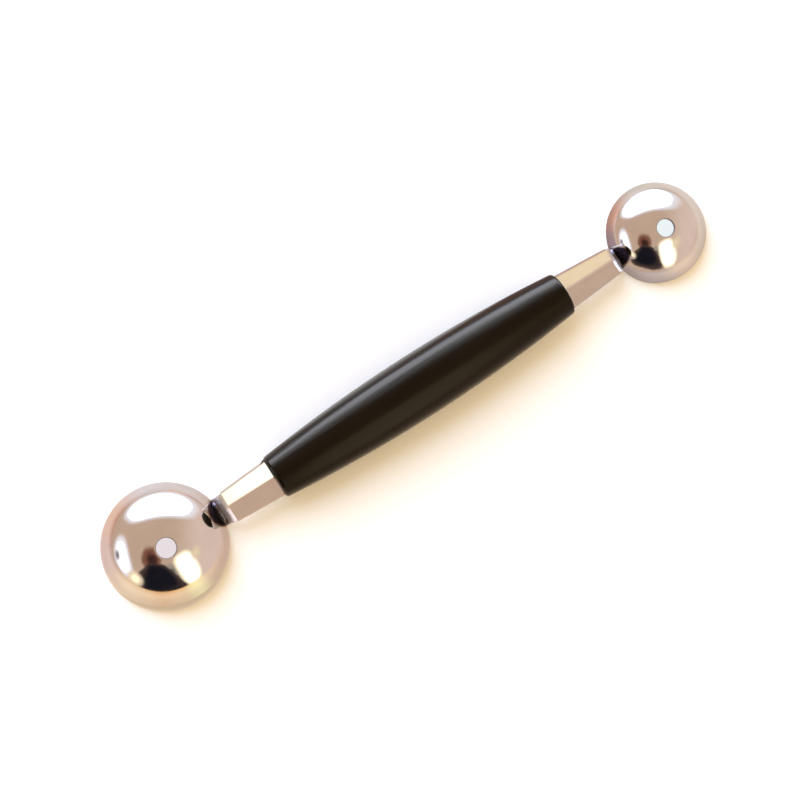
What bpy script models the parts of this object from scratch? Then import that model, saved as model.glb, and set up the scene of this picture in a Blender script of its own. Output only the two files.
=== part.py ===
"""Double-ended melon baller: a barrel handle with a round scoop on a creased metal shank at each end.

Metres, +Z up. The cups stand on their rims at z = 0 with their domes up, +X runs along the tool towards the
small cup, and the origin is the bottom centre of the whole tool.
"""
from math import asin, cos, pi, radians, sin, sqrt, tan

import bpy
from mathutils import Matrix

MM = 0.001

# ---- driving dimensions -------------------------------------------------------------------------------------
LARGE_CUP_RADIUS = 13.9 * MM        # a scoop of about 1 1/8 inch
SMALL_CUP_RADIUS = 11.3 * MM        # a scoop of about 7/8 inch
CUP_DEPTH_RATIO = 0.83              # a cup's height over its radius: a slightly flattened half ball
CUP_WALL = 0.8 * MM
LARGE_VENT_RADIUS = 2.15 * MM
SMALL_VENT_RADIUS = 1.95 * MM
CUP_SPACING = 128.3 * MM            # between the two cups' axes

HANDLE_LENGTH = 74.5 * MM
HANDLE_MID_RADIUS = 6.9 * MM
HANDLE_END_RADIUS = 4.85 * MM
HANDLE_EDGE_ROUND = 0.8 * MM
HANDLE_AXIS_HEIGHT = 7.2 * MM       # the belly stays just clear of the table
LARGE_SHANK_REACH = 13.3 * MM       # from the handle's end face to the large cup's outside

SHEET = 0.9 * MM                    # thickness of the shanks
SHANK_PITCH = radians(17)           # how far each half of the strip leans up from the crease
CREASE_ROUND = 0.25 * MM
CREASE_DROP = 0.5 * MM              # the crease lies this far under the handle's axis
BEND_RADIUS = 1.3 * MM
BEND_ANGLE = radians(72)            # the strip is pressed flat over the bend and runs down beside the cup
BEND_STANDOFF = 1.9 * MM            # the bend starts this far outside the cup
TANG_WIDTH = 5.6 * MM
TANG_LENGTH = 20.0 * MM
TANG_DRAW = 0.05 * MM               # the tang is drawn this much thinner than the strip on each face
NOTCH_RADIUS = 0.9 * MM
NOTCH_PLACES = (0.55, 0.8)          # along the tang, from the handle's end face
WELD_SIZE = (2.8 * MM, 5.4 * MM, 2.4 * MM)
WELD_HEIGHT = 4.2 * MM
GAP = 0.3 * MM                      # left between neighbouring solids

# Widths are across the strip at the handle and at the cup; tilt is its slope down towards the cup.
SHANKS = {
    "large": {"width": (8.2 * MM, 6.6 * MM), "tilt": radians(2.5)},
    "small": {"width": (7.8 * MM, 5.6 * MM), "tilt": radians(4.0)},
}

# ---- places that follow from them ---------------------------------------------------------------------------
HALF_LENGTH = (LARGE_CUP_RADIUS + CUP_SPACING + SMALL_CUP_RADIUS) / 2
LARGE_CUP_X = -HALF_LENGTH + LARGE_CUP_RADIUS
SMALL_CUP_X = HALF_LENGTH - SMALL_CUP_RADIUS
HANDLE_START_X = LARGE_CUP_X + LARGE_CUP_RADIUS + LARGE_SHANK_REACH
HANDLE_END_X = HANDLE_START_X + HANDLE_LENGTH

STEEL = ((0.62, 0.57, 0.53), 0.22, 1.0)
WELD_STEEL = ((0.42, 0.39, 0.37), 0.42, 1.0)
BLACK_PLASTIC = ((0.022, 0.018, 0.017), 0.42, 0.0)


# ---- helpers ------------------------------------------------------------------------------------------------
def clear_scene():
    for obj in list(bpy.data.objects):
        bpy.data.objects.remove(obj, do_unlink=True)


def new_collection(name):
    collection = bpy.data.collections.new(name)
    bpy.context.scene.collection.children.link(collection)
    return collection


def make_material(name, look):
    colour, roughness, metallic = look
    material = bpy.data.materials.new(name)
    material.use_nodes = True
    shader = material.node_tree.nodes["Principled BSDF"]
    shader.inputs["Base Color"].default_value = (*colour, 1.0)
    shader.inputs["Roughness"].default_value = roughness
    shader.inputs["Metallic"].default_value = metallic
    return material


def add_object(name, mesh, collection, look=None):
    obj = bpy.data.objects.new(name, mesh)
    collection.objects.link(obj)
    if look:
        mesh.materials.append(make_material(name, look))
    return obj


def mesh_from(name, points, faces=(), edges=()):
    mesh = bpy.data.meshes.new(name)
    mesh.from_pydata([tuple(point) for point in points], list(edges), list(faces))
    return mesh


def spaced(start, stop, count):
    return [start + (stop - start) * i / count for i in range(count + 1)]


def smooth(obj, angle=radians(35)):
    obj.data.shade_smooth()
    obj.data.set_sharp_from_angle(angle=angle)


def turned(name, profile, steps, collection, look=None):
    """Spin a closed outline of (radius, height) points about Z."""
    count = len(profile)
    edges = [(i, (i + 1) % count) for i in range(count)]
    mesh = mesh_from(name, [(r, 0, z) for r, z in profile], edges=edges)
    obj = add_object(name, mesh, collection, look)
    screw = obj.modifiers.new("Turn", "SCREW")
    screw.axis = "Z"
    screw.angle = 2 * pi
    screw.steps = steps
    screw.render_steps = steps
    screw.use_merge_vertices = True
    screw.merge_threshold = 0.00001
    screw.use_smooth_shade = True
    return obj


def as_cutter(obj):
    obj.hide_render = True
    obj.display_type = "WIRE"
    return obj


def cut(obj, cutter):
    boolean = obj.modifiers.new("Cut " + cutter.name, "BOOLEAN")
    boolean.operation = "DIFFERENCE"
    boolean.solver = "EXACT"
    boolean.object = cutter


# ---- cups ---------------------------------------------------------------------------------------------------
def make_cup(name, centre_x, radius, vent_radius, steps, collection):
    """A flattened half ball with a straight vent hole through its crown and a flat rim."""
    profile = []
    for reach, inside in ((radius, False), (radius - CUP_WALL, True)):
        height = radius * CUP_DEPTH_RATIO - (radius - reach)
        start = asin(vent_radius / reach)
        angles = spaced(start, pi / 2, 11)
        side = [(reach * sin(angle), max(height * cos(angle), 0.0)) for angle in angles]
        profile += reversed(side) if inside else side
    cup = turned(name, profile, steps, collection, STEEL)
    cup.location = (centre_x, 0, 0)
    return cup


def move_to(obj, collection):
    for owner in list(obj.users_collection):
        owner.objects.unlink(obj)
    collection.objects.link(obj)


def add_ball(name, place, radius, segments, collection):
    bpy.ops.mesh.primitive_uv_sphere_add(segments=segments, ring_count=segments // 2, radius=radius)
    ball = bpy.context.active_object
    ball.name = name
    ball.location = place
    move_to(ball, collection)
    return ball


# ---- shanks -------------------------------------------------------------------------------------------------
class ShankPath:
    """The crease line of one shank, from deep in the handle (negative distance) to the cup.

    Distances run from the handle's end face. In its own plane the shank heads along +u; `point` gives u, height
    and slope angle, and the slope turns steeply down over the bend just outside the cup.
    """

    def __init__(self, reach, tilt):
        self.tilt = tilt
        self.start_height = HANDLE_AXIS_HEIGHT - CREASE_DROP
        self.straight = reach - BEND_STANDOFF
        self.bend_length = BEND_RADIUS * BEND_ANGLE
        self.tail = 5.0 * MM

    def point(self, distance):
        if distance <= 0:
            return distance, self.start_height, 0.0
        slope = self.tilt
        run = min(distance, self.straight)
        u = run * cos(slope)
        height = self.start_height - run * sin(slope)
        if distance > self.straight:
            turned_by = min(distance - self.straight, self.bend_length) / BEND_RADIUS
            u += BEND_RADIUS * (sin(slope + turned_by) - sin(slope))
            height -= BEND_RADIUS * (cos(slope) - cos(slope + turned_by))
            slope += turned_by
            rest = max(distance - self.straight - self.bend_length, 0.0)
            u += rest * cos(slope)
            height -= rest * sin(slope)
        return u, height, slope

    def trough(self, distance):
        """How much of the crease's depth is left: all of it up to the bend, and none past the bend."""
        share = min(max((distance - self.straight) / self.bend_length, 0.0), 1.0)
        return 1.0 - share * share * (3 - 2 * share)


def channel(name, path, distances, half_width, lift, thickness, direction, face_x, collection, look=None):
    """A creased strip that follows `path`: a lofted sheet thickened downwards.

    `half_width` is a function of distance, `lift` raises the whole sheet, and `direction` is +1 or -1 for the
    way along X that the shank points from the handle's end face at `face_x`.
    """
    across = 8
    points = []
    for distance in distances:
        u, height, slope = path.point(distance)
        for j in range(across + 1):
            side = (2 * j / across - 1) * half_width(distance)
            rise = tan(SHANK_PITCH) * (sqrt(side * side + CREASE_ROUND ** 2) - CREASE_ROUND)
            rise = rise * path.trough(distance) + lift
            x = face_x + direction * (u + rise * sin(slope))
            points.append((x, side, height + rise * cos(slope)))
    faces = []
    row = across + 1
    for i in range(len(distances) - 1):
        for j in range(across):
            corners = (i * row + j, (i + 1) * row + j, (i + 1) * row + j + 1, i * row + j + 1)
            faces.append(corners if direction > 0 else corners[::-1])
    mesh = mesh_from(name, points, faces)
    obj = add_object(name, mesh, collection, look)
    solid = obj.modifiers.new("Thickness", "SOLIDIFY")
    solid.thickness = thickness
    solid.offset = -1.0
    solid.use_even_offset = True
    return obj


def make_shank(size, direction, face_x, cup_x, cup_radius, parts, cutters):
    spec = SHANKS[size]
    reach = abs(cup_x - face_x) - cup_radius
    path = ShankPath(reach, spec["tilt"])
    wide, narrow = (width / 2 for width in spec["width"])

    def body_half_width(distance):
        return wide + (narrow - wide) * min(max(distance / reach, 0.0), 1.0)

    bend_start = path.straight
    bend_end = bend_start + path.bend_length
    body_distances = (spaced(GAP, bend_start, 8) + spaced(bend_start, bend_end, 8)[1:]
                      + spaced(bend_end, bend_end + path.tail, 4)[1:])
    name = size + "_shank"
    shank = channel(name, path, body_distances, body_half_width, 0, SHEET, direction, face_x, parts, STEEL)

    tang_distances = spaced(-TANG_LENGTH, 3 * GAP, 10)
    tang = channel(size + "_tang", path, tang_distances, lambda distance: TANG_WIDTH / 2, -TANG_DRAW,
                   SHEET - 2 * TANG_DRAW, direction, face_x, cutters)
    as_cutter(tang)
    join = shank.modifiers.new("Tang", "BOOLEAN")
    join.operation = "UNION"
    join.solver = "EXACT"
    join.object = tang

    for place in NOTCH_PLACES:
        for side in (-1, 1):
            bpy.ops.mesh.primitive_cylinder_add(vertices=16, radius=NOTCH_RADIUS, depth=8 * MM)
            notch = bpy.context.active_object
            notch.name = f"{size}_notch"
            notch.location = (face_x - direction * TANG_LENGTH * place, side * TANG_WIDTH / 2, HANDLE_AXIS_HEIGHT)
            move_to(notch, cutters)
            cut(shank, as_cutter(notch))

    saddle = as_cutter(add_ball(size + "_saddle", (cup_x, 0, 0), 1.0, 64, cutters))
    saddle_height = cup_radius * CUP_DEPTH_RATIO + GAP
    saddle.data.transform(Matrix.Diagonal((cup_radius + GAP, cup_radius + GAP, saddle_height, 1.0)))
    cut(shank, saddle)

    bpy.ops.mesh.primitive_cube_add(size=1)
    floor = bpy.context.active_object
    floor.name = size + "_foot_trim"
    floor.data.transform(Matrix.Diagonal((0.04, 0.04, 0.02, 1.0)))
    floor.location = (cup_x - direction * cup_radius, 0, -0.01 + GAP)
    move_to(floor, cutters)
    cut(shank, as_cutter(floor))
    smooth(shank)

    slot_distances = spaced(-TANG_LENGTH - GAP, 3 * GAP, 10)
    slot = channel(size + "_slot", path, slot_distances, lambda distance: TANG_WIDTH / 2 + GAP,
                   GAP, SHEET + 2 * GAP, direction, face_x, cutters)

    # The weld is a drop of metal in the corner between the strip's bend and the cup.
    weld = add_ball(size + "_cup_weld", (cup_x - direction * (cup_radius + WELD_SIZE[0] / 4), 0, WELD_HEIGHT),
                    0.5, 28, parts)
    weld.data.transform(Matrix.Diagonal((*WELD_SIZE, 1.0)))
    weld.data.materials.append(make_material(weld.name, WELD_STEEL))
    strip_space = channel(size + "_strip_space", path, body_distances, lambda distance: wide + GAP, GAP,
                          SHEET + 4 * MM, direction, face_x, cutters)
    cut(weld, saddle)
    cut(weld, as_cutter(strip_space))
    smooth(weld)
    return as_cutter(slot)


# ---- handle -------------------------------------------------------------------------------------------------
def make_handle(collection, slots):
    """A barrel: its side is one long circular arc, rounded over at the flat ends."""
    half = HANDLE_LENGTH / 2
    sagitta = HANDLE_MID_RADIUS - HANDLE_END_RADIUS
    arc_radius = (half * half + sagitta * sagitta) / (2 * sagitta)
    side_stop = half - HANDLE_EDGE_ROUND

    def side_radius(along):
        return HANDLE_MID_RADIUS - (arc_radius - sqrt(arc_radius ** 2 - along ** 2))

    corner_centre = side_radius(side_stop) - HANDLE_EDGE_ROUND
    corner = [(corner_centre + HANDLE_EDGE_ROUND * sin(pi / 8 * i),
               side_stop + HANDLE_EDGE_ROUND * cos(pi / 8 * i)) for i in range(5)]
    side_points = 14
    side = [side_stop - 2 * side_stop * i / side_points for i in range(1, side_points)]
    profile = [(0.0, half)] + corner + [(side_radius(along), along) for along in side]
    profile += [(radius, -along) for radius, along in reversed(corner)] + [(0.0, -half)]
    handle = turned("handle", profile, 40, collection, BLACK_PLASTIC)
    handle.rotation_euler = (0, pi / 2, 0)
    handle.location = ((HANDLE_START_X + HANDLE_END_X) / 2, 0, HANDLE_AXIS_HEIGHT)
    for slot in slots:
        cut(handle, slot)
    return handle


def main():
    clear_scene()
    parts = new_collection("melon_baller")
    cutters = new_collection("cutters")
    make_cup("large_cup", LARGE_CUP_X, LARGE_CUP_RADIUS, LARGE_VENT_RADIUS, 48, parts)
    make_cup("small_cup", SMALL_CUP_X, SMALL_CUP_RADIUS, SMALL_VENT_RADIUS, 44, parts)
    large_slot = make_shank("large", -1, HANDLE_START_X, LARGE_CUP_X, LARGE_CUP_RADIUS, parts, cutters)
    small_slot = make_shank("small", 1, HANDLE_END_X, SMALL_CUP_X, SMALL_CUP_RADIUS, parts, cutters)
    make_handle(parts, (large_slot, small_slot))


main()
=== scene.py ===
from math import asin, cos, exp, pi, radians, sin, sqrt, tan

import bmesh
import bpy
from mathutils import Matrix, Vector, noise


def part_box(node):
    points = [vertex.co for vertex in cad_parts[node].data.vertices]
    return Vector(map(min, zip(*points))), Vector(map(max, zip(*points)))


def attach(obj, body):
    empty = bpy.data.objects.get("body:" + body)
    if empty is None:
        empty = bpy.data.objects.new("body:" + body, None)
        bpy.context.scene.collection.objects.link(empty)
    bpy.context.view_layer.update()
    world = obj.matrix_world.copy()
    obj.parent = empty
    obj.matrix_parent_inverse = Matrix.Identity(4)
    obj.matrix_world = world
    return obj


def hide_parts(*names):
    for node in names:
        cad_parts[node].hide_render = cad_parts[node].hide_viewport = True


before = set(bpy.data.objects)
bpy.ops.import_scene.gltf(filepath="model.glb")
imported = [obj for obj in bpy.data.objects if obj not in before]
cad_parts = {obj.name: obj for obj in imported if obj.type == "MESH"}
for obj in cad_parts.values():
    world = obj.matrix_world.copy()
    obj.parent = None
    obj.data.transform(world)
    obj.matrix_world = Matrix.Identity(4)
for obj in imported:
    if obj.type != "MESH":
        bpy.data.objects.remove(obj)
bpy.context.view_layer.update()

# A double-ended melon baller: two steel cups, each welded to a creased steel strip, and a moulded handle that
# holds both strips. +X points at the small cup and +Z up through the cups' domes.
MM = 0.001

# ---- the tool's own sizes, beyond what the frame's boxes give ---------------------------------------------
CUP_DEPTH_RATIO = 0.83              # a cup's height over its radius
CUP_WALL = 0.8 * MM
VENT_RADIUS = {"large": 2.15 * MM, "small": 1.95 * MM}
CUP_SEGMENTS = 192
CUP_RINGS = 44
LIP_ROUND = 0.16 * MM

SHEET = 0.9 * MM
SHEET_EDGE_ROUND = 0.14 * MM
SHANK_PITCH = radians(17)           # each half of the strip rises this much from the crease
CREASE_ROUND = 0.25 * MM
CREASE_DROP = 0.5 * MM              # the crease leaves the handle this far below its axis
BEND_RADIUS = 1.3 * MM
BEND_ANGLE = radians(72)
BEND_STANDOFF = 1.9 * MM            # the bend starts this far outside the cup
TAIL_REACH = 5.0 * MM               # the cup is looked for this far past the bend
TAIL_LOWEST = 0.4 * MM              # and no lower than this,
SEARCH_STEPS = 40                   # with so many halvings
CUP_GAP = 0.04 * MM                 # between the strip's end and the cup
FACE_GAP = 0.02 * MM                # from the handle's end face to the rows of points on either side of it
TANG_WIDTH = 5.6 * MM
TANG_LENGTH = 20.0 * MM
NOTCH_RADIUS = 0.9 * MM
NOTCH_PLACES = (0.55, 0.8)          # shares of the tang's length, from the handle's end face
SLOT_CLEARANCE = 0.12 * MM
SLOT_OVERRUN = 3 * MM               # the slot's cutter sticks out of the handle this far
SHANK_COLUMNS, TANG_ROWS, STRIP_ROWS = 28, 80, 150
SLOT_COLUMNS, SLOT_ROWS = 16, 30
SHANKS = {
    "large": {"direction": -1, "width": (8.2 * MM, 6.6 * MM), "tilt": radians(2.5)},
    "small": {"direction": 1, "width": (7.8 * MM, 5.6 * MM), "tilt": radians(4.0)},
}

WELD_HALF_LENGTH = 2.9 * MM
WELD_LEG = 1.5 * MM
WELD_LEAST_LEG = 0.15 * MM
WELD_CLIMB = 0.93                   # how high the weld goes up the cup, in legs
WELD_CROWN = 0.10 * MM              # how far the weld's face bulges
WELD_BITE = 0.05 * MM               # how deep the weld goes into the strip and the cup
WELD_RIPPLE = 0.10                  # how much its size varies along it
WELD_RIPPLES, WELD_RIPPLE_PLACE = 4, (3, 7)            # how often, and where in the noise
WELD_STATIONS, WELD_FACE_STEPS = 60, 11

HANDLE_MID_RADIUS = 6.9 * MM
HANDLE_END_RADIUS = 4.85 * MM
HANDLE_EDGE_ROUND = 0.8 * MM
HANDLE_CORE = 0.02 * MM             # the turned outline closes along a bore too thin to see
HANDLE_SEGMENTS, HANDLE_RINGS, HANDLE_CORNER_STEPS = 256, 90, 10
HANDLE_RIPPLE = 0.012 * MM          # how uneven the moulding is
RIPPLES_ROUND, RIPPLES_ALONG = 150, 40                 # ripples in a metre
HANDLE_PLAIN_END = 0.3 * MM         # neither ripple nor mould line comes closer to the end faces
PARTING_HALF_WIDTH = 0.16 * MM      # the mould line along both sides
PARTING_HEIGHT = 0.05 * MM
FLASH_LENGTH = 1.3 * MM
FLASH_THICKNESS = 0.37 * MM
FLASH_TAPER = 0.75                  # how much of the thickness is gone at the tip
FLASH_TALLNESS = 1.6                # its height over its thickness
FLASH_ROOT = 0.2 * MM               # how deep it starts in the handle
FLASH_OUTSIDE = 0.30 * MM           # how far outside the strip's edge it starts
FLASH_HOOK = 0.45 * MM              # how far it curls back over the strip
FLASH_LIFT = 0.10 * MM
FLASH_ROWS, FLASH_SEGMENTS = 14, 10

# ---- looks of the steel and the plastic --------------------------------------------------------------------
CLEAN_STEEL = ((0.60, 0.59, 0.58), (0.64, 0.63, 0.62))
# the weld's two tones, painted dark with the shade of the gap between strip and cup
SHADED_WELD_STEEL = ((0.07, 0.06, 0.07), (0.22, 0.20, 0.22))
VENT_WALL_SHADE = (0.12, 0.115, 0.12)     # the wall of a vent hole, painted dark with shade
VENT_WALL_SHADE_FADE = (0.08 * MM, 0.16 * MM)   # how far outside the hole that painted shade fades
PLAIN_NOISE = (1, 1, 1)             # how a noise is scaled along x, y and z
STRIP_SCRATCHES = (0.05, 1, 1)      # long along the strip
CLOUDS = (260.0, 4.0, 0.6)          # each noise's scale, detail and roughness
SCRATCHES = (900.0, 5.0, 0.65)
WAVES = (110.0, 1.0)
SCRATCH_DEPTH, WAVE_DEPTH = 0.02 * MM, 1.0 * MM
# roughness added in the band at the start of a bend, on a vent's cut wall and under painted shade
BEND_BAND_DULLNESS, CUT_DULLNESS, SHADED_DULLNESS = 0.55, 0.5, 0.22
# each strip's tone in a band at the start of its bend: lighter on the large strip, darker on the small
BEND_BAND_TONE = {"large": (0.95, 0.91, 0.88), "small": (0.58, 0.55, 0.53)}
BEND_BAND_REACH = 0.25 * MM               # a rougher band in its own tone lies within this distance of the start of the bend
# tints of the painted shade as it deepens, from none through tan to near black
PAINTED_SHADE_TINTS = ((0.05, (1.0, 1.0, 1.0)), (0.3, (0.86, 0.72, 0.52)), (0.5, (0.35, 0.22, 0.20)),
              (0.72, (0.05, 0.035, 0.05)))
PAINTED_SHADE_CLOUDS = 0.35                  # how much the polish's cloudiness disturbs the painted shade's tints
CUP_PAINTED_SHADE = {                       # height of the patch of painted shade and painted reflection of the handle's end on the cup, its half width and half height
    "large": (2.2 * MM, 3.3 * MM, 4.65 * MM),
    "small": (2.7 * MM, 2.1 * MM, 3.2 * MM),
}
CUP_PAINTED_SHADE_FADE = (0.55, 1.35)       # where it starts to fade and is gone, as squared shares of its size
PAINTED_SHADE_NEAR_SIDE = (0.35, 0.45)       # only the side towards the handle gets the painted shade, past this share of the radius
STRIP_PAINTED_SHADE_ACROSS = {"large": 2.7 * MM, "small": 2.0 * MM}   # half width of the painted shade on each strip's end
STRIP_PAINTED_SHADE_SIDE_FADE = (-0.5 * MM, 0.3 * MM)                 # where it fades across the strip, from that half width
STRIP_PAINTED_SHADE_RISE = (1.35 * MM, 2.2 * MM)   # where painted shade darkens the strip, past the start of its bend
PLASTIC_TONES = ((0.0010, 0.0007, 0.0004), (0.0030, 0.0021, 0.0013))
PLASTIC_ROUGHNESS = (0.20, 0.38)
PLASTIC_SPECULAR = 0.18
PLASTIC_SHEEN = (1.0, 0.82, 0.56)
PLASTIC_GRAIN = (PLAIN_NOISE, 2600.0, 2.0)              # each noise's scaling, scale, detail and roughness
PLASTIC_STREAKS = ((0.06, 1, 1), 900.0, 4.0, 0.6)
PLASTIC_PATCHES = ((0.3, 1, 1), 150.0, 3.0, 0.6)
PLASTIC_GRAIN_BUMP, PLASTIC_STREAK_BUMP = (0.25, 0.03 * MM), (0.60, 0.08 * MM)     # strength and depth
TONE_STOPS = (0.3, 0.7)             # the values of a noise that give a look's first and second tone

# ---- camera and studio -------------------------------------------------------------------------------------
CAMERA_PLACE = Vector((-60.9, 12.06, 451.7)) * MM
CAMERA_AIM = Vector((-3.0, -0.64, 0.0)) * MM
CAMERA_LENS = 93.9
CAMERA_SENSOR = 36
CAMERA_CLIP = (0.01, 20)
PICTURE_TURN = radians(32.7)        # the tool climbs this much to the right in the picture
PICTURE_UP = Vector((sin(PICTURE_TURN), cos(PICTURE_TURN), 0))
PICTURE_RIGHT = Vector((cos(PICTURE_TURN), -sin(PICTURE_TURN), 0))
DISPLAY_GAMMA = 2.2
WHITE = (1.0, 1.0, 1.0)
FLOOR_HALF = 2.5
FLOOR_TONE = (0.95, 0.95, 0.95)
SUN_PLACE = (-600, 620, 900)        # right, up and height, as studio_point takes them
SUN_WIDTH = radians(50)
SUN_STRENGTH = 3.1
SUN_COLOUR = (0.47, 0.67, 1.0)
AMBIENT = (1.05, 0.80, 0.48)
ROOM_WEST = (0.82, 0.58, 0.43)
ROOM_EAST = (1.05, 0.80, 0.68)
TABLE_UNDER = (0.93, 0.70, 0.48)    # what mirror-like surfaces see below the horizon, past the discs
TABLE_BRIGHT = (1.7, 1.7, 1.75)     # and towards the window
WINDOW_AZIMUTH = -33
EAST_FADE = (0.9, 0.1)              # the room's colours change between these cosines from picture right,
WINDOW_FADE = (0.0, 0.6)            # from the window
HORIZON_FADE = (-0.5, -0.3)         # and from straight up
UPPER_HALF = (-0.15, 0.30)          # where a card's upper half starts and is fully there, from -1 to 1
RAGGED = (3.2, 2.0)                 # scale and detail of the noise in an uneven outline
STEEL_TONE = 0.62                   # how much of a colour the polished steel gives back
NEAR, FAR = 0, 1
TABLE_TONES = {                     # by azimuth: the table's look in the steel near the cup, and far away
    "large": {-180: ((235, 199, 163), (214, 152, 85)), -140: ((245, 218, 187), (219, 183, 139)),
              -100: ((223, 195, 187), (165, 136, 122)), -60: ((228, 192, 172), (173, 113, 93)),
              -20: ((221, 211, 213), (200, 186, 186)), 20: ((214, 202, 198), (203, 188, 181)),
              60: ((198, 172, 155), (200, 175, 155)), 100: ((216, 184, 164), (216, 178, 150)),
              120: ((222, 192, 166), (232, 192, 158)), 140: ((252, 236, 186), (255, 238, 156)),
              160: ((236, 206, 172), (240, 183, 112))},
    "small": {-180: ((195, 178, 171), (148, 138, 139)), -140: ((170, 152, 146), (200, 180, 163)),
              -100: ((153, 131, 133), (148, 135, 144)), -65: ((188, 143, 126), (240, 184, 162)),
              -20: ((205, 195, 185), (222, 212, 205)), 20: ((222, 207, 199), (172, 148, 133)),
              60: ((220, 205, 193), (204, 181, 163)), 100: ((216, 195, 178), (195, 166, 146)),
              140: ((229, 202, 181), (219, 194, 166))},
}
TABLE_LEAN = {                      # degrees: each disc's lift all round, and its lean towards an azimuth
    "large": (0, 17.5, 160),
    "small": (-3.5, 14, 120),
}
GLOW_GROWTHS = (1.0, 1.04, 1.1, 1.25, 1.5, 2.0, 2.7, 3.5, 5.0, 7.0, 9.5, 12.0)   # rings, in cup radii
GLOW_SEGMENTS = 120
FAR_GROWTH = 3.5                    # about where the far tone takes over from the near one, in cup radii
NEAR_DIMMING, NEAR_REACH = 0.22, 0.8                   # the table is dimmer near a cup, within this reach
CONTACT_SHADE = {"large": 0.0, "small": 0.28}          # and dimmer still right against it,
CONTACT_REACH = 0.04                                   # within this reach
GLOW_CUT = (-48 * MM, -36 * MM)     # a disc stops between these places on its way to the other cup,
GLOW_PAST_CUT = 38 * MM             # or up to this much later,
GLOW_PAST_SLOPE = 4.0               # by this much for each step towards the window side
GLOW_STRAY = (17 * MM, 24 * MM)     # a ray this much off its own cup's distance came from the other one
VENT_TONES = {"large": (231, 221, 224), "small": (236, 243, 244)}
VENT_GLOW_INSET, VENT_GLOW_HEIGHT, VENT_GLOW_SEGMENTS = 0.2 * MM, 0.02 * MM, 48


# ---- helpers -----------------------------------------------------------------------------------------------
def mesh_object(name, points, faces):
    mesh = bpy.data.meshes.new(name)
    mesh.from_pydata([tuple(point) for point in points], [], faces)
    mesh.validate()
    obj = bpy.data.objects.new(name, mesh)
    bpy.context.scene.collection.objects.link(obj)
    return obj


def spaced(start, stop, count):
    """Both ends and the values that divide the way between them into `count` equal steps."""
    return [start + (stop - start) * i / count for i in range(count + 1)]


def apply_modifiers(obj):
    bpy.context.view_layer.update()
    evaluated = obj.evaluated_get(bpy.context.evaluated_depsgraph_get())
    made = bpy.data.meshes.new_from_object(evaluated)
    obj.modifiers.clear()
    obj.data = made


def smooth(obj, angle=radians(35)):
    obj.data.shade_smooth()
    obj.data.set_sharp_from_angle(angle=angle)


def bevel(obj, width, segments=3, angle=radians(40)):
    rounding = obj.modifiers.new("Rounding", "BEVEL")
    rounding.width = width
    rounding.segments = segments
    rounding.limit_method = "ANGLE"
    rounding.angle_limit = angle


def grid_faces(rows, columns, wrap=False):
    faces = []
    for i in range(rows - 1):
        for j in range(columns if wrap else columns - 1):
            k = (j + 1) % columns
            faces.append((i * columns + j, i * columns + k, (i + 1) * columns + k, (i + 1) * columns + j))
    return faces


def outward(obj):
    """Turn every face of a closed mesh to face out."""
    mesh = bmesh.new()
    mesh.from_mesh(obj.data)
    bmesh.ops.recalc_face_normals(mesh, faces=mesh.faces)
    mesh.to_mesh(obj.data)
    mesh.free()


def turned(name, profile, segments):
    """Spin a closed outline of (radius, height) points about Z."""
    points = []
    for radius, height in profile:
        for j in range(segments):
            angle = 2 * pi * j / segments
            points.append((radius * cos(angle), radius * sin(angle), height))
    faces = grid_faces(len(profile), segments, wrap=True)
    last = (len(profile) - 1) * segments
    for j in range(segments):
        k = (j + 1) % segments
        faces.append((last + j, last + k, k, j))
    return mesh_object(name, points, faces)


def sheet(name, rows, direction, thickness):
    """Sheet metal below rows of points that each run towards +Y and follow each other in `direction`."""
    faces = grid_faces(len(rows), len(rows[0]))
    if direction > 0:
        faces = [face[::-1] for face in faces]
    obj = mesh_object(name, [point for row in rows for point in row], faces)
    solid = obj.modifiers.new("Thickness", "SOLIDIFY")
    solid.thickness = thickness
    solid.offset = -1.0
    solid.use_even_offset = True
    return obj


def loft(name, rings):
    """A closed solid through rings of points, with a flat face at each end."""
    count = len(rings[0])
    last = (len(rings) - 1) * count
    faces = grid_faces(len(rings), count, wrap=True)
    faces += [tuple(reversed(range(count))), tuple(range(last, last + count))]
    obj = mesh_object(name, [point for ring in rings for point in ring], faces)
    outward(obj)
    smooth(obj, radians(60))
    return obj


def finish_piece(obj, node, material):
    obj.data.materials.clear()
    obj.data.materials.append(material)
    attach(obj, "root")
    if node:
        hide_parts(node)


# ---- materials ---------------------------------------------------------------------------------------------
def add_node(tree, kind, inputs=None, **settings):
    made = tree.nodes.new("ShaderNode" + kind)
    for name, value in settings.items():
        setattr(made, name, value)
    for name, value in (inputs or {}).items():
        socket = made.inputs[name]
        if isinstance(value, bpy.types.NodeSocket):
            tree.links.new(value, socket)
        else:
            socket.default_value = value
    return made


def ramp(tree, factor, stops):
    made = add_node(tree, "ValToRGB", {"Fac": factor})
    elements = made.color_ramp.elements
    stops = list(stops)
    while len(elements) < len(stops):
        elements.new(0.5)
    for element, (place, colour) in zip(elements, stops):
        element.position = place
        element.color = (*colour, 1.0)
    return made.outputs["Color"]


def span(tree, value, low, high):
    """A value from 0 to 1, spread from `low` to `high`."""
    return add_node(tree, "MapRange", {"Value": value, "To Min": low, "To Max": high}).outputs["Result"]


def maths(tree, operation, first, second=0.0):
    return add_node(tree, "Math", {0: first, 1: second}, operation=operation).outputs[0]


def fade(tree, value, start, stop):
    """1 up to `start`, 0 from `stop` on and a smooth step between; the other way round if `stop` is lower."""
    limits = {"Value": value, "From Min": start, "From Max": stop, "To Min": 1.0, "To Max": 0.0}
    return add_node(tree, "MapRange", limits, interpolation_type="SMOOTHSTEP").outputs["Result"]


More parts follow.
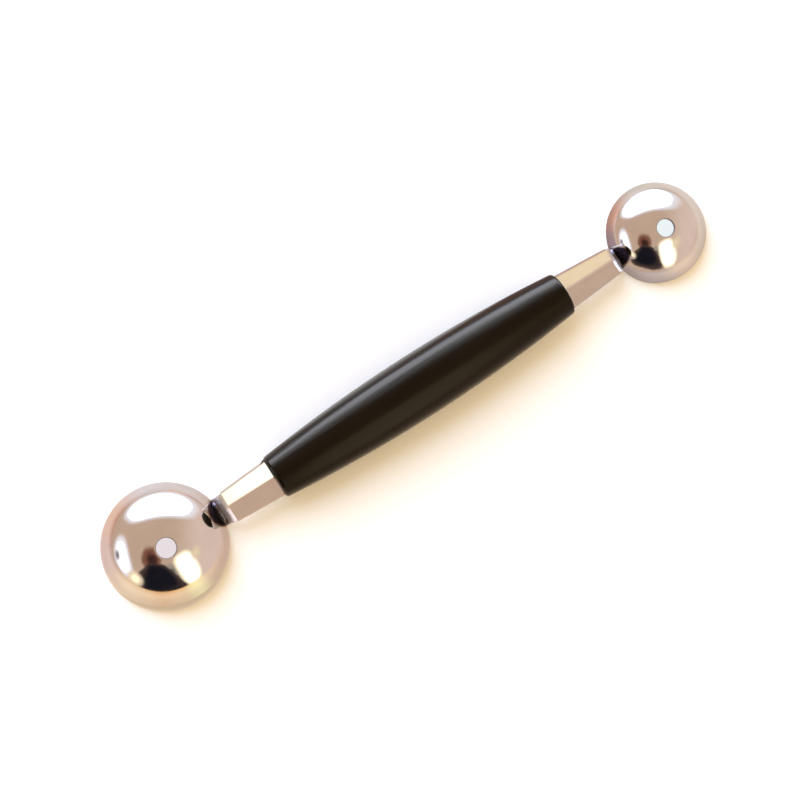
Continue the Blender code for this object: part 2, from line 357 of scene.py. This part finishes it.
def blend(tree, factor, first, second, mode="MIX"):
    """Two colours mixed, each an (r, g, b) or another node's output."""
    inputs = {"Fac": factor, "Color1": first, "Color2": second}
    for name in ("Color1", "Color2"):
        if isinstance(inputs[name], tuple):
            inputs[name] = (*inputs[name], 1.0)
    return add_node(tree, "MixRGB", inputs, blend_type=mode).outputs["Color"]


def new_material(name):
    material = bpy.data.materials.new(name)
    material.use_nodes = True
    return material, material.node_tree, material.node_tree.nodes["Principled BSDF"]


def stretched(tree, scale):
    """The object's own coordinates, scaled: a noise gets longer along an axis whose scale is below 1."""
    coordinates = add_node(tree, "TexCoord").outputs["Object"]
    return add_node(tree, "Mapping", {"Vector": coordinates, "Scale": scale}).outputs["Vector"]


def axes(tree, vector):
    return add_node(tree, "SeparateXYZ", {0: vector}).outputs


def object_axes(tree):
    return axes(tree, add_node(tree, "TexCoord").outputs["Object"])


def noise_of(tree, vector, scale, detail=3.0, roughness=0.5):
    inputs = {"Vector": vector, "Scale": scale, "Detail": detail, "Roughness": roughness}
    return add_node(tree, "TexNoise", inputs).outputs["Fac"]


def roughen(tree, shader, fine, broad):
    """Two bumps on top of each other, each a (height, strength, distance)."""
    normal = None
    for height, strength, distance in (fine, broad):
        inputs = {"Height": height, "Strength": strength, "Distance": distance}
        if normal:
            inputs["Normal"] = normal
        normal = add_node(tree, "Bump", inputs).outputs["Normal"]
    tree.links.new(normal, shader.inputs["Normal"])


def steel(name, colours, roughness, grain, wave, scratch_stretch=PLAIN_NOISE, painted_shade=None, bend_band=None,
          bend_band_tone=None, punched=None):
    """Polished stainless steel: cloudy polish, fine scratches and a slightly uneven pressed surface.

    Its shade factor is 1 where shade is painted dark into the steel (on a cup, with a painted reflection of
    the handle's dark end), its band factor is 1 in a rougher band with its own tone at the start of a strip's
    bend, and `punched` is the radius of a hole whose cut wall is rough and painted dark with shade.
    """
    material, tree, shader = new_material(name)
    plain = stretched(tree, PLAIN_NOISE)
    cloud = noise_of(tree, plain, *CLOUDS)
    scratches = noise_of(tree, stretched(tree, scratch_stretch), *SCRATCHES)
    waviness = noise_of(tree, plain, *WAVES)
    colour = ramp(tree, cloud, zip(TONE_STOPS, colours))
    dullness = span(tree, maths(tree, "MULTIPLY", cloud, scratches), *roughness)
    # a rougher band in its own tone at the start of a strip's bend
    if bend_band:
        banded = bend_band(tree)
        dullness = maths(tree, "MAXIMUM", dullness, maths(tree, "MULTIPLY", banded, BEND_BAND_DULLNESS))
        colour = blend(tree, banded, colour, bend_band_tone)
    if punched:
        x, y, _ = object_axes(tree)
        squares = maths(tree, "ADD", maths(tree, "MULTIPLY", x, x), maths(tree, "MULTIPLY", y, y))
        # the cut wall is rough, and painted dark with shade
        wall = fade(tree, maths(tree, "SQRT", squares), *(punched + step for step in VENT_WALL_SHADE_FADE))
        colour = blend(tree, wall, colour, VENT_WALL_SHADE)
        dullness = maths(tree, "MAXIMUM", dullness, maths(tree, "MULTIPLY", wall, CUT_DULLNESS))
    # painted shade and painted reflection: the steel darkened with these tints
    if painted_shade:
        shaded = painted_shade(tree)
        clouds = maths(tree, "MULTIPLY", maths(tree, "SUBTRACT", cloud, 0.5), PAINTED_SHADE_CLOUDS)
        tint = ramp(tree, maths(tree, "ADD", shaded, clouds), PAINTED_SHADE_TINTS)
        colour = blend(tree, 1.0, colour, tint, "MULTIPLY")
        dullness = maths(tree, "MAXIMUM", dullness, maths(tree, "MULTIPLY", shaded, SHADED_DULLNESS))
    tree.links.new(colour, shader.inputs["Base Color"])
    tree.links.new(dullness, shader.inputs["Roughness"])
    roughen(tree, shader, (scratches, grain, SCRATCH_DEPTH), (waviness, wave, WAVE_DEPTH))
    shader.inputs["Metallic"].default_value = 1.0
    return material


def cup_painted_shade(size):
    """Painted reflection of the handle's dark end and painted shade of the strip on a cup: an oval patch on
    the side towards the handle.
    """
    height, half_width, half_height = CUP_PAINTED_SHADE[size]
    centre_x, radius = cup_facts(size)
    toward = -1 if centre_x > 0 else 1

    def factor(tree):
        x, y, z = object_axes(tree)
        across = maths(tree, "MULTIPLY", y, 1 / half_width)
        lift = maths(tree, "MULTIPLY", maths(tree, "SUBTRACT", z, height), 1 / half_height)
        squares = [maths(tree, "POWER", maths(tree, "ABSOLUTE", part), 2.0) for part in (across, lift)]
        patch = fade(tree, maths(tree, "ADD", *squares), *CUP_PAINTED_SHADE_FADE)
        limits = [radius * share for share in PAINTED_SHADE_NEAR_SIDE]
        far_side = fade(tree, maths(tree, "MULTIPLY", x, toward), *limits)
        return maths(tree, "MULTIPLY", patch, maths(tree, "SUBTRACT", 1.0, far_side))
    return factor


def along_shank(shank, start, stop, half_width=None):
    """A factor that rises from 0 to 1 between two distances from the handle's end, within a half width."""
    def factor(tree):
        x, y, _ = object_axes(tree)
        out = maths(tree, "MULTIPLY", maths(tree, "SUBTRACT", x, shank.face_x), shank.direction)
        rise = maths(tree, "SUBTRACT", 1.0, fade(tree, out, start, stop))
        if half_width is None:
            return rise
        limits = [half_width + step for step in STRIP_PAINTED_SHADE_SIDE_FADE]
        middle = fade(tree, maths(tree, "ABSOLUTE", y), *limits)
        return maths(tree, "MULTIPLY", rise, middle)
    return factor


def black_plastic():
    """Moulded black plastic, semi matt: fine grain, faint lengthwise streaks and dull rubbed patches."""
    material, tree, shader = new_material("black_plastic")
    grain, streaks, patches = (noise_of(tree, stretched(tree, scaling), *values)
                               for scaling, *values in (PLASTIC_GRAIN, PLASTIC_STREAKS, PLASTIC_PATCHES))
    colour = ramp(tree, patches, zip(TONE_STOPS, PLASTIC_TONES))
    tree.links.new(colour, shader.inputs["Base Color"])
    dullness = span(tree, maths(tree, "MULTIPLY", patches, streaks), *PLASTIC_ROUGHNESS)
    tree.links.new(dullness, shader.inputs["Roughness"])
    roughen(tree, shader, (grain, *PLASTIC_GRAIN_BUMP), (streaks, *PLASTIC_STREAK_BUMP))
    shader.inputs["Specular IOR Level"].default_value = PLASTIC_SPECULAR
    shader.inputs["Specular Tint"].default_value = (*PLASTIC_SHEEN, 1.0)
    return material


# ---- cups --------------------------------------------------------------------------------------------------
def cup_facts(size):
    low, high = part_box(size + "_cup")
    return (low.x + high.x) / 2, (high.y - low.y) / 2


def build_cup(size, material):
    """A flattened half ball, drawn from sheet, with a deburred vent hole and a flat rim."""
    centre_x, radius = cup_facts(size)
    vent = VENT_RADIUS[size]
    profile = []
    for reach, inside in ((radius, False), (radius - CUP_WALL, True)):
        height = radius * CUP_DEPTH_RATIO - (radius - reach)
        angles = spaced(asin(vent / reach), pi / 2, CUP_RINGS)
        side = [(reach * sin(angle), max(height * cos(angle), 0.0)) for angle in angles]
        profile += reversed(side) if inside else side
    cup = turned(size + "_cup_shell", profile, CUP_SEGMENTS)
    bevel(cup, LIP_ROUND)
    apply_modifiers(cup)
    smooth(cup)
    cup.location = (centre_x, 0, 0)
    finish_piece(cup, size + "_cup", material)


# ---- shanks ------------------------------------------------------------------------------------------------
class Shank:
    """The creased strip of one end. Distances run along its crease from the handle's end face to the cup."""

    def __init__(self, size):
        spec = SHANKS[size]
        handle_low, handle_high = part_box("handle")
        self.size = size
        self.direction = spec["direction"]
        self.tilt = spec["tilt"]
        self.face_x = handle_high.x if self.direction > 0 else handle_low.x
        self.cup_x, self.cup_radius = cup_facts(size)
        self.wide, self.narrow = (width / 2 for width in spec["width"])
        self.reach = abs(self.cup_x - self.face_x) - self.cup_radius
        self.start_height = (handle_low.z + handle_high.z) / 2 - CREASE_DROP
        self.straight = self.reach - BEND_STANDOFF
        self.bend_length = BEND_RADIUS * BEND_ANGLE

    def crease(self, distance):
        """How far out a point of the crease is, its height and the crease's slope there."""
        if distance <= 0:
            return distance, self.start_height, 0.0
        slope = self.tilt
        run = min(distance, self.straight)
        out = run * cos(slope)
        height = self.start_height - run * sin(slope)
        if distance > self.straight:
            turned_by = min(distance - self.straight, self.bend_length) / BEND_RADIUS
            out += BEND_RADIUS * (sin(slope + turned_by) - sin(slope))
            height -= BEND_RADIUS * (cos(slope) - cos(slope + turned_by))
            slope += turned_by
            rest = max(distance - self.straight - self.bend_length, 0.0)
            out += rest * cos(slope)
            height -= rest * sin(slope)
        return out, height, slope

    def trough(self, distance):
        """How much of the crease's depth is left: all of it up to the bend, and none past the bend."""
        share = min(max((distance - self.straight) / self.bend_length, 0.0), 1.0)
        return 1.0 - share * share * (3 - 2 * share)

    def point(self, distance, side, lift=0.0):
        out, height, slope = self.crease(distance)
        rise = tan(SHANK_PITCH) * (sqrt(side * side + CREASE_ROUND ** 2) - CREASE_ROUND)
        rise = rise * self.trough(distance) + lift
        x = self.face_x + self.direction * (out + rise * sin(slope))
        return Vector((x, side, height + rise * cos(slope)))

    def half_width(self, distance):
        """The tang's, with its round notches, inside the handle; the tapering strip's outside it."""
        if distance > 0:
            return self.wide + (self.narrow - self.wide) * min(distance / self.reach, 1.0)
        half = TANG_WIDTH / 2
        for place in NOTCH_PLACES:
            off = distance + TANG_LENGTH * place
            if abs(off) < NOTCH_RADIUS:
                half = TANG_WIDTH / 2 - sqrt(NOTCH_RADIUS ** 2 - off ** 2)
        return half

    def meets_cup(self, side, clearance):
        """The distance along the strip at which this line of it comes to the cup, by halving."""
        cup_height = self.cup_radius * CUP_DEPTH_RATIO + clearance
        radius = self.cup_radius + clearance
        low, high = self.straight, self.straight + self.bend_length + TAIL_REACH
        for _ in range(SEARCH_STEPS):
            middle = (low + high) / 2
            place = self.point(middle, side)
            level = ((place.x - self.cup_x) ** 2 + side * side) / radius ** 2
            inside = level + (place.z / cup_height) ** 2 < 1
            low, high = (low, middle) if inside or place.z < TAIL_LOWEST else (middle, high)
        return low


def build_shank(shank, material):
    """The notched tang inside the handle and the strip outside it, trimmed to the cup, in one piece."""
    shares = spaced(-1.0, 1.0, SHANK_COLUMNS)
    rows = []
    for distance in spaced(-TANG_LENGTH, 0, TANG_ROWS)[:-1] + [-FACE_GAP]:
        half = shank.half_width(distance)
        rows.append([shank.point(distance, half * share) for share in shares])
    ends = [shank.meets_cup(share * shank.narrow, CUP_GAP) for share in shares]
    for along in spaced(0.0, 1.0, STRIP_ROWS):
        row = []
        for share, end in zip(shares, ends):
            distance = FACE_GAP + (end - FACE_GAP) * along
            row.append(shank.point(distance, share * shank.half_width(distance)))
        rows.append(row)
    strip = sheet(shank.size + "_shank_strip", rows, shank.direction, SHEET)
    bevel(strip, SHEET_EDGE_ROUND, segments=2, angle=radians(50))
    apply_modifiers(strip)
    smooth(strip)
    finish_piece(strip, shank.size + "_shank", material)


def slot_cutter(shank):
    """What is cut from the handle for a tang: a sheet with clearance all round it."""
    half = TANG_WIDTH / 2 + SLOT_CLEARANCE
    rows = []
    for distance in spaced(-TANG_LENGTH - SLOT_CLEARANCE, SLOT_OVERRUN, SLOT_ROWS):
        outside = Vector((shank.direction * max(distance, 0), 0, 0))
        rows.append([shank.point(min(distance, 0), half * share, SLOT_CLEARANCE) + outside
                     for share in spaced(-1.0, 1.0, SLOT_COLUMNS)])
    cutter = sheet(shank.size + "_slot", rows, shank.direction, SHEET + 2 * SLOT_CLEARANCE)
    apply_modifiers(cutter)
    return cutter


def cup_surface(shank, side, height, inset=0.0):
    """The point of the cup's outside nearest the handle, at this side and height."""
    full_height = shank.cup_radius * CUP_DEPTH_RATIO
    reach = shank.cup_radius * sqrt(1 - (height / full_height) ** 2) - inset
    return Vector((shank.cup_x - shank.direction * sqrt(reach ** 2 - side ** 2), side, height))


def build_weld(shank, material):
    """The run of weld that fills the corner between the strip's bent-down end and the cup."""
    rings = []
    for share in spaced(-1.0, 1.0, WELD_STATIONS):
        side = share * WELD_HALF_LENGTH
        ripple = 1 + WELD_RIPPLE * noise.noise(Vector((share * WELD_RIPPLES, *WELD_RIPPLE_PLACE)))
        leg = max(WELD_LEG * (1 - share ** 4) ** 0.5 * ripple, WELD_LEAST_LEG)
        root = shank.meets_cup(side, 0.0)
        foot = shank.point(root, side, -WELD_BITE)
        on_strip = shank.point(root - leg, side, -WELD_BITE)
        on_cup = cup_surface(shank, side, foot.z + leg * WELD_CLIMB, WELD_BITE)
        crown = Vector((0, 0, WELD_CROWN * ripple))
        face = [on_strip.lerp(on_cup, along) + crown * 4 * along * (1 - along)
                for along in spaced(0.0, 1.0, WELD_FACE_STEPS)]
        rings.append([foot] + face)
    weld = loft(shank.size + "_cup_weld_bead", rings)
    finish_piece(weld, shank.size + "_cup_weld", material)


# ---- handle ------------------------------------------------------------------------------------------------
def build_handle(shanks, material):
    """The moulded barrel: one long arc, rounded over at the flat ends, with the faint line of its mould."""
    low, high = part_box("handle")
    half = (high.x - low.x) / 2
    sagitta = HANDLE_MID_RADIUS - HANDLE_END_RADIUS
    arc_radius = (half * half + sagitta * sagitta) / (2 * sagitta)
    side_stop = half - HANDLE_EDGE_ROUND

    def side_radius(along):
        return HANDLE_MID_RADIUS - (arc_radius - sqrt(arc_radius ** 2 - along ** 2))

    corner_centre = side_radius(side_stop) - HANDLE_EDGE_ROUND
    corner = [(corner_centre + HANDLE_EDGE_ROUND * sin(angle), side_stop + HANDLE_EDGE_ROUND * cos(angle))
              for angle in spaced(0.0, pi / 2, HANDLE_CORNER_STEPS)]
    side = [(side_radius(along), along) for along in spaced(side_stop, -side_stop, HANDLE_RINGS)[1:-1]]
    profile = [(HANDLE_CORE, half)] + corner + side
    profile += [(radius, -along) for radius, along in reversed(corner)] + [(HANDLE_CORE, -half)]
    handle = turned("handle_barrel", profile, HANDLE_SEGMENTS)
    mesh = handle.data
    for vertex in mesh.vertices:
        across, beside, along = vertex.co
        radius = sqrt(across * across + beside * beside)
        if abs(along) < half - HANDLE_PLAIN_END:
            seam = PARTING_HEIGHT * exp(-(across / PARTING_HALF_WIDTH) ** 2)
            place = Vector((across * RIPPLES_ROUND, beside * RIPPLES_ROUND, along * RIPPLES_ALONG))
            ripple = HANDLE_RIPPLE * noise.noise(place)
            vertex.co = (across * (1 + ripple / radius), beside * (1 + (seam + ripple) / radius), along)
    mesh.transform(Matrix.Rotation(pi / 2, 4, "Y"))
    middle = Vector(((low.x + high.x) / 2, 0, (low.z + high.z) / 2))
    mesh.transform(Matrix.Translation(middle))
    for shank in shanks:
        cutter = slot_cutter(shank)
        cut = handle.modifiers.new("Slot", "BOOLEAN")
        cut.operation = "DIFFERENCE"
        cut.solver = "EXACT"
        cut.object = cutter
        apply_modifiers(handle)
        bpy.data.objects.remove(cutter)
    smooth(handle, radians(40))
    finish_piece(handle, "handle", material)


def build_flash(shank, material):
    """A thin hook of plastic that the mould has squeezed out round one corner of a strip."""
    corner = shank.point(0, shank.wide)
    rings = []
    for share in spaced(0.0, 1.0, FLASH_ROWS):
        half = FLASH_THICKNESS / 2 * (1 - FLASH_TAPER * share ** 2)
        out = shank.direction * (FLASH_LENGTH * share - FLASH_ROOT)
        centre = corner + Vector((out, FLASH_OUTSIDE - FLASH_HOOK * share ** 2, FLASH_LIFT))
        angles = [2 * pi * j / FLASH_SEGMENTS for j in range(FLASH_SEGMENTS)]
        rings.append([centre + Vector((0, half * cos(angle), FLASH_TALLNESS * half * sin(angle)))
                      for angle in angles])
    flash = loft("handle_flash", rings)
    finish_piece(flash, None, material)


# ---- studio ------------------------------------------------------------------------------------------------
def studio_point(right, up, height):
    """A place in the studio, in millimetres along the picture's right and up directions on the table."""
    return (PICTURE_RIGHT * right + PICTURE_UP * up) * MM + Vector((0, 0, height * MM))


def linear(colour, over=1.0):
    """A display colour (0 to 255) as linear light, divided by the reflectance it will be seen in."""
    return tuple((part / 255) ** DISPLAY_GAMMA / over for part in colour)


def glossy_only(obj):
    obj.visible_camera = False
    obj.visible_diffuse = False
    obj.visible_shadow = False
    obj.visible_transmission = False


def stage_material(name):
    material = bpy.data.materials.new(name)
    material.use_nodes = True
    material.node_tree.nodes.clear()
    return material, material.node_tree


def shine(tree, colour, cover, strength=1.0):
    """Light of this colour where `cover` is 1 and nothing at all where it is 0."""
    emission = add_node(tree, "Emission", {"Color": colour, "Strength": strength})
    clear = add_node(tree, "BsdfTransparent")
    mix = add_node(tree, "MixShader", {0: cover, 1: clear.outputs[0], 2: emission.outputs[0]})
    add_node(tree, "OutputMaterial", {"Surface": mix.outputs[0]})


def card(name, foot, head, width, core, edge, corner=4.0, soft=0.3, rim=0.15, taper=0.0, aim=(0, 0, 10),
         dim=1.0, ragged=0.0):
    """A reflection card that only mirror-like surfaces see.

    It stands from `foot` to `head` and is turned about that line to face `aim`. Its outline is a rounded
    oblong (`corner` 2 is an ellipse) that fades out over `soft`; inside that, its light goes from `edge` to
    `core` over `rim`. `taper` makes it narrower (or, below zero, wider) towards its head, `dim` is the share
    of its light left in the upper half and `ragged` makes its outline uneven.
    """
    low, high = studio_point(*foot), studio_point(*head)
    to_aim = studio_point(*aim) - (low + high) / 2
    across = (high - low).cross(to_aim).normalized() * width * MM
    points = [low - across / 2, low + across / 2, high + across / 2, high - across / 2]
    obj = mesh_object(name, points, [(0, 1, 2, 3)])
    layer = obj.data.uv_layers.new(name="card")
    for loop, place_in_card in enumerate(((0, 0), (1, 0), (1, 1), (0, 1))):
        layer.data[loop].uv = place_in_card
    material, tree = stage_material(name)
    coordinates = add_node(tree, "TexCoord").outputs["UV"]
    x, y, _ = axes(tree, coordinates)
    x, y = (maths(tree, "SUBTRACT", maths(tree, "MULTIPLY", part, 2.0), 1.0) for part in (x, y))
    narrowing = maths(tree, "SUBTRACT", 1.0, maths(tree, "MULTIPLY", y, taper))
    x = maths(tree, "DIVIDE", x, maths(tree, "MULTIPLY", narrowing, 1 / (1 + abs(taper))))
    powers = [maths(tree, "POWER", maths(tree, "ABSOLUTE", part), corner) for part in (x, y)]
    away = maths(tree, "POWER", maths(tree, "ADD", *powers), 1 / corner)
    if ragged:
        uneven = maths(tree, "SUBTRACT", noise_of(tree, coordinates, *RAGGED), 0.5)
        away = maths(tree, "ADD", away, maths(tree, "MULTIPLY", uneven, ragged))
    inner = fade(tree, away, max(1 - soft - rim, 0.0), 1 - soft)
    upper = maths(tree, "SUBTRACT", 1.0, fade(tree, y, *UPPER_HALF))
    lost = maths(tree, "MULTIPLY", maths(tree, "MULTIPLY", inner, upper), 1 - dim)
    strength = maths(tree, "SUBTRACT", 1.0, lost)
    shine(tree, blend(tree, inner, edge, core), fade(tree, away, 1 - soft, 1.0), strength)
    obj.data.materials.append(material)
    glossy_only(obj)


def build_floor():
    corners = [(x * FLOOR_HALF, y * FLOOR_HALF, 0) for x, y in ((-1, -1), (1, -1), (1, 1), (-1, 1))]
    floor = mesh_object("floor", corners, [(0, 1, 2, 3)])
    material, tree = stage_material("floor")
    surface = add_node(tree, "BsdfDiffuse", {"Color": (*FLOOR_TONE, 1.0)})
    add_node(tree, "OutputMaterial", {"Surface": surface.outputs[0]})
    floor.data.materials.append(material)
    floor.visible_glossy = False


def direction_of(azimuth):
    """A level direction from its angle clockwise from the picture's up, in degrees."""
    return PICTURE_UP * cos(radians(azimuth)) + PICTURE_RIGHT * sin(radians(azimuth))


def tone_at(tones, azimuth, which):
    """The tone between the two nearest azimuths that are given, as linear light."""
    stops = sorted(tones)
    for stop, following in zip(stops, stops[1:] + [stops[0] + 360]):
        if stop <= azimuth < following:
            share = (azimuth - stop) / (following - stop)
            first, second = (Vector(linear(tones[(key + 180) % 360 - 180][which], STEEL_TONE))
                             for key in (stop, following))
            return first.lerp(second, share * share * (3 - 2 * share))


def build_table_glow(size):
    """What a cup mirrors of the table: a wide leaning disc round it that only mirror-like surfaces see."""
    centre_x, radius = cup_facts(size)
    centre = Vector((centre_x, 0, 0))
    lift, lean, lean_azimuth = TABLE_LEAN[size]
    points, colours = [], []
    for growth in GLOW_GROWTHS:
        ring = radius * growth
        far = exp(-(FAR_GROWTH / growth) ** 1.5)
        shade = 1 - NEAR_DIMMING + NEAR_DIMMING * min((growth - 1) / NEAR_REACH, 1.0)
        shade -= CONTACT_SHADE[size] * exp(-(growth - 1) / CONTACT_REACH)
        for j in range(GLOW_SEGMENTS):
            azimuth = 360 * j / GLOW_SEGMENTS - 180
            rise = tan(radians(lift + lean * cos(radians(azimuth - lean_azimuth))))
            points.append(centre + direction_of(azimuth) * ring + Vector((0, 0, ring * rise)))
            near_tone = tone_at(TABLE_TONES[size], azimuth, NEAR) * shade
            colours.append(near_tone.lerp(tone_at(TABLE_TONES[size], azimuth, FAR), far))
    faces = grid_faces(len(GLOW_GROWTHS), GLOW_SEGMENTS, wrap=True)
    disc = mesh_object(size + "_table_glow", points, faces)
    layer = disc.data.color_attributes.new("tone", "FLOAT_COLOR", "POINT")
    for k, colour in enumerate(colours):
        layer.data[k].color = (*colour, 1.0)
    material, tree = stage_material(disc.name)
    tone = add_node(tree, "VertexColor", layer_name="tone").outputs["Color"]
    place = add_node(tree, "NewGeometry").outputs["Position"]
    x, y, _ = axes(tree, place)
    toward_other = maths(tree, "MULTIPLY", x, -1 if centre_x > 0 else 1)
    allowed = maths(tree, "MAXIMUM", maths(tree, "MULTIPLY", y, GLOW_PAST_SLOPE), 0.0)
    allowed = maths(tree, "MINIMUM", allowed, GLOW_PAST_CUT)
    near_side = fade(tree, maths(tree, "SUBTRACT", toward_other, allowed), *GLOW_CUT)
    own = add_node(tree, "VectorMath", {0: place, 1: tuple(centre)}, operation="DISTANCE").outputs["Value"]
    travelled = add_node(tree, "LightPath").outputs["Ray Length"]
    stray = maths(tree, "ABSOLUTE", maths(tree, "SUBTRACT", travelled, own))
    shine(tree, tone, maths(tree, "MULTIPLY", near_side, fade(tree, stray, *GLOW_STRAY)))
    disc.data.materials.append(material)
    glossy_only(disc)


def vent_glow(size):
    """Light on the table inside a cup, so that the vent hole looks through to a bright table."""
    centre_x, radius = cup_facts(size)
    reach = radius - CUP_WALL - VENT_GLOW_INSET
    angles = [2 * pi * i / VENT_GLOW_SEGMENTS for i in range(VENT_GLOW_SEGMENTS)]
    points = [(centre_x + reach * cos(angle), reach * sin(angle), VENT_GLOW_HEIGHT) for angle in angles]
    glow = mesh_object(size + "_vent_glow", points, [tuple(range(len(points)))])
    material, tree = stage_material(glow.name)
    emission = add_node(tree, "Emission", {"Color": (*linear(VENT_TONES[size]), 1.0)})
    add_node(tree, "OutputMaterial", {"Surface": emission.outputs[0]})
    glow.data.materials.append(material)


def build_world():
    """White behind the table, warm light on it, and a tan to pinkish room for mirror-like surfaces."""
    world = bpy.data.worlds.new("studio")
    bpy.context.scene.world = world
    world.use_nodes = True
    tree = world.node_tree
    tree.nodes.clear()
    path = add_node(tree, "LightPath")
    way = add_node(tree, "TexCoord").outputs["Generated"]

    def toward(direction):
        product = add_node(tree, "VectorMath", {0: way, 1: tuple(direction)}, operation="DOT_PRODUCT")
        return product.outputs["Value"]

    room = blend(tree, fade(tree, toward(PICTURE_RIGHT), *EAST_FADE), ROOM_WEST, ROOM_EAST)
    windowward = toward(direction_of(WINDOW_AZIMUTH))
    under = blend(tree, fade(tree, windowward, *WINDOW_FADE), TABLE_BRIGHT, TABLE_UNDER)
    around = blend(tree, fade(tree, axes(tree, way)[2], *HORIZON_FADE), room, under)
    ambient, mirrored, backdrop = (
        add_node(tree, "Background", {"Color": colour}).outputs[0]
        for colour in ((*AMBIENT, 1.0), around, (*WHITE, 1.0)))
    first = add_node(tree, "MixShader", {0: path.outputs["Is Glossy Ray"], 1: ambient, 2: mirrored})
    second = add_node(tree, "MixShader", {0: path.outputs["Is Camera Ray"], 1: first.outputs[0], 2: backdrop})
    add_node(tree, "OutputWorld", {"Surface": second.outputs[0]})


def build_lights():
    data = bpy.data.lights.new("window", "SUN")
    data.angle = SUN_WIDTH
    data.energy = SUN_STRENGTH
    data.color = SUN_COLOUR
    sun = bpy.data.objects.new("window", data)
    bpy.context.scene.collection.objects.link(sun)
    sun.rotation_mode = "QUATERNION"
    sun.rotation_quaternion = studio_point(*SUN_PLACE).to_track_quat("Z", "Y")
    sun.visible_glossy = False


def build_camera():
    data = bpy.data.cameras.new("camera")
    data.lens = CAMERA_LENS
    data.sensor_width = CAMERA_SENSOR
    data.clip_start, data.clip_end = CAMERA_CLIP
    camera = bpy.data.objects.new("camera", data)
    bpy.context.scene.collection.objects.link(camera)
    forward = (CAMERA_AIM - CAMERA_PLACE).normalized()
    right = forward.cross(PICTURE_UP).normalized()
    above = right.cross(forward)
    turn = Matrix((right, above, -forward)).transposed()
    camera.location = CAMERA_PLACE
    camera.rotation_mode = "QUATERNION"
    camera.rotation_quaternion = turn.to_quaternion()
    bpy.context.scene.camera = camera


# ---- assembly ----------------------------------------------------------------------------------------------
bpy.context.scene.view_settings.view_transform = "Standard"
build_world()
build_lights()
build_camera()
build_floor()

# the weld's steel, painted dark with shade
weld_steel = steel("weld_steel", SHADED_WELD_STEEL, roughness=(0.20, 0.50), grain=0.3, wave=0.05)
plastic = black_plastic()
shanks = [Shank(size) for size in SHANKS]
for shank in shanks:
    size, bend = shank.size, shank.straight
    # the cup's steel carries painted shade and a painted reflection of the handle's end
    cup_steel = steel(size + "_cup_steel", CLEAN_STEEL, roughness=(0.05, 0.18), grain=0.10, wave=0.012,
                      painted_shade=cup_painted_shade(size), punched=VENT_RADIUS[size])
    build_cup(size, cup_steel)
    # the strip's steel carries painted shade on its bent end
    shank_steel = steel(size + "_shank_steel", CLEAN_STEEL, roughness=(0.06, 0.20), grain=0.15, wave=0.035,
                        scratch_stretch=STRIP_SCRATCHES, bend_band_tone=BEND_BAND_TONE[size],
                        bend_band=along_shank(shank, bend - BEND_BAND_REACH, bend + BEND_BAND_REACH),
                        painted_shade=along_shank(shank, bend + STRIP_PAINTED_SHADE_RISE[0], bend + STRIP_PAINTED_SHADE_RISE[1], STRIP_PAINTED_SHADE_ACROSS[size]))
    build_shank(shank, shank_steel)
    build_weld(shank, weld_steel)
    vent_glow(size)
build_handle(shanks, plastic)
build_flash(shanks[0], plastic)
for size in SHANKS:
    build_table_glow(size)

card("north_window", foot=(-190, 450, -200), head=(-190, 450, 535), width=1400, core=(12, 14, 19.5),
     edge=(1.25, 1.2, 1.25), corner=3.0, soft=0.30, rim=0.18, aim=(-190, 0, 130), dim=0.2)
card("left_window", foot=(-700, -190, -80), head=(-700, -190, 440), width=840, core=(2.8, 2.75, 2.8),
     edge=(1.35, 1.28, 1.4), corner=2.3, soft=0.35, rim=0.15)
card("grey_flag", foot=(-560, -124, -25), head=(-560, -124, 125), width=170, core=(0.26, 0.25, 0.29),
     edge=(0.6, 0.55, 0.6), corner=2.0, soft=0.6, rim=0.2)
card("lamp", foot=(250, -400, 20), head=(175, -118, 660), width=425, core=(2.2, 2.1, 1.85),
     edge=(1.7, 1.5, 1.05), corner=3.0, soft=0.24, rim=0.07, taper=-0.35)
card("lamp_spill", foot=(312, -99, 200), head=(312, -99, 500), width=280, core=(1.35, 1.1, 0.74),
     edge=(1.2, 0.95, 0.66), corner=2.0, soft=0.8, rim=0.1)
card("cream_spot", foot=(-262, -257, 0), head=(-262, -257, 200), width=170, core=(1.9, 1.7, 1.15),
     edge=(1.35, 1.05, 0.75), corner=2.2, soft=0.5, rim=0.2)
card("dark_flag", foot=(-40, -365, -30), head=(-220, -335, 690), width=640, core=(0.010, 0.010, 0.018),
     edge=(0.08, 0.05, 0.045), corner=3.6, soft=0.16, rim=0.3, taper=0.35, ragged=0.35)
card("smoke_flag", foot=(60, -420, 200), head=(10, -330, 720), width=330, core=(0.20, 0.185, 0.16),
     edge=(0.5, 0.44, 0.35), corner=2.2, soft=0.6, rim=0.3)
card("brown_flag", foot=(-345, -640, 700), head=(-315, 40, 700), width=520, core=(0.07, 0.028, 0.022),
     edge=(0.30, 0.12, 0.08), corner=2.0, soft=0.42, rim=0.35, ragged=0.45)
